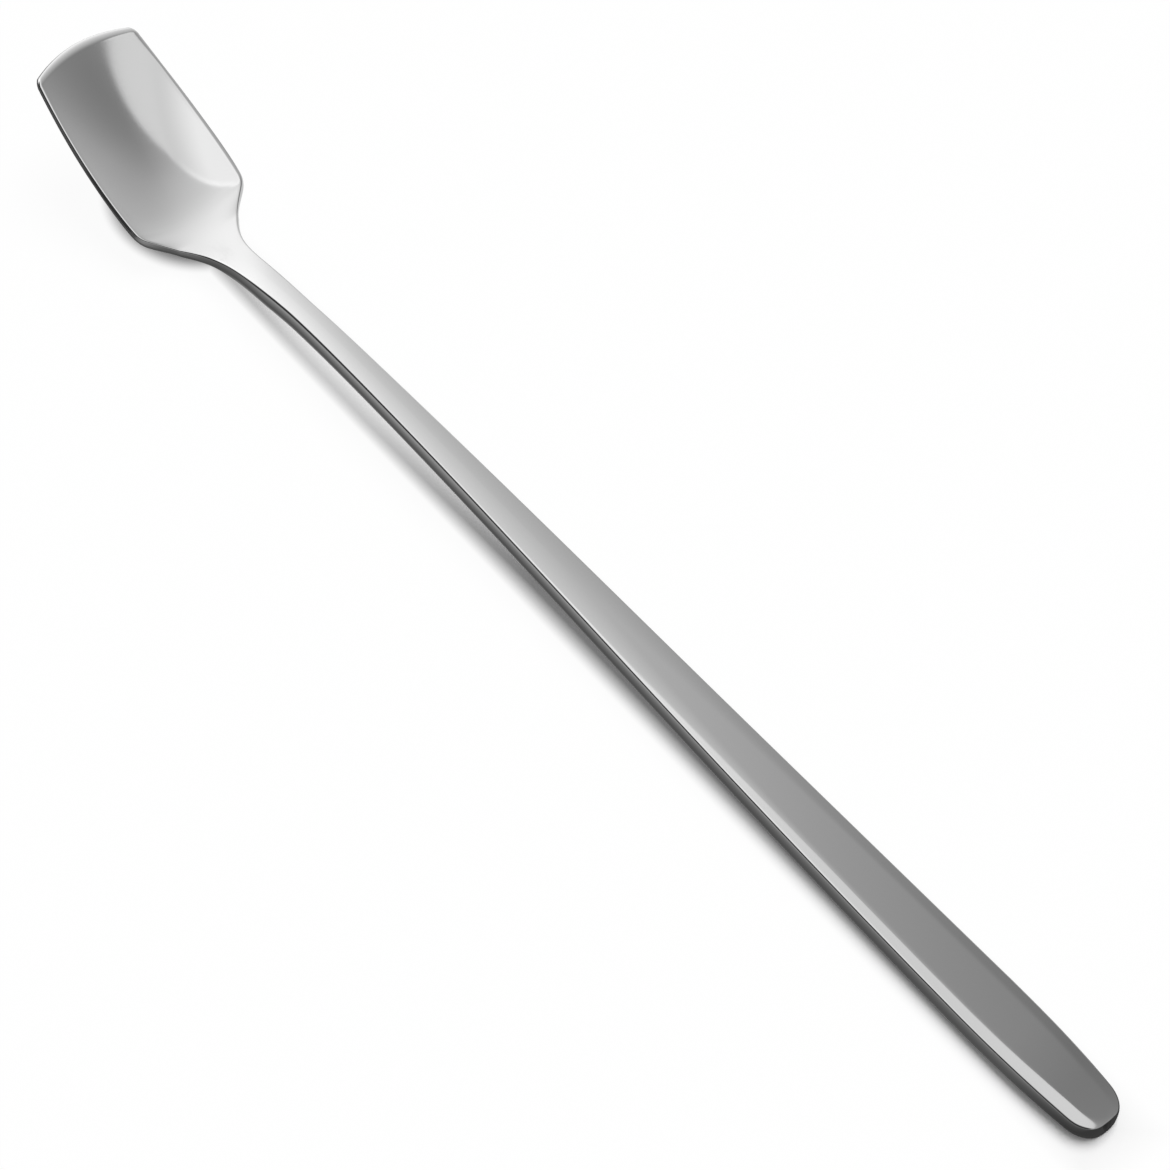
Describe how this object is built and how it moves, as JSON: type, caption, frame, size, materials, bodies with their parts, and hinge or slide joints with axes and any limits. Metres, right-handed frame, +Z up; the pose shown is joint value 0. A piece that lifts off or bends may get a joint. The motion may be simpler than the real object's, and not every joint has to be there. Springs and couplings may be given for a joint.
{
  "type": "tasting spoon",
  "caption": "Long slim tasting spoon of polished steel, with a gently arched handle, a slender neck and a small upturned bowl with a square-cut tip.",
  "frame": {"origin": "middle of the overall length and width, on the table plane that the handle's end and the bowl's heel rest on", "axes": "+X along the handle toward the bowl's tip, +Y across, +Z up out of the bowl's hollow"},
  "size_m": [0.2006, 0.0186, 0.018],
  "materials": {
    "steel": "polished bright, fine wear only"
  },
  "bodies": {
    "root": {"bowl": "steel", "neck": "steel", "handle": "steel"}
  },
  "joints": []
}
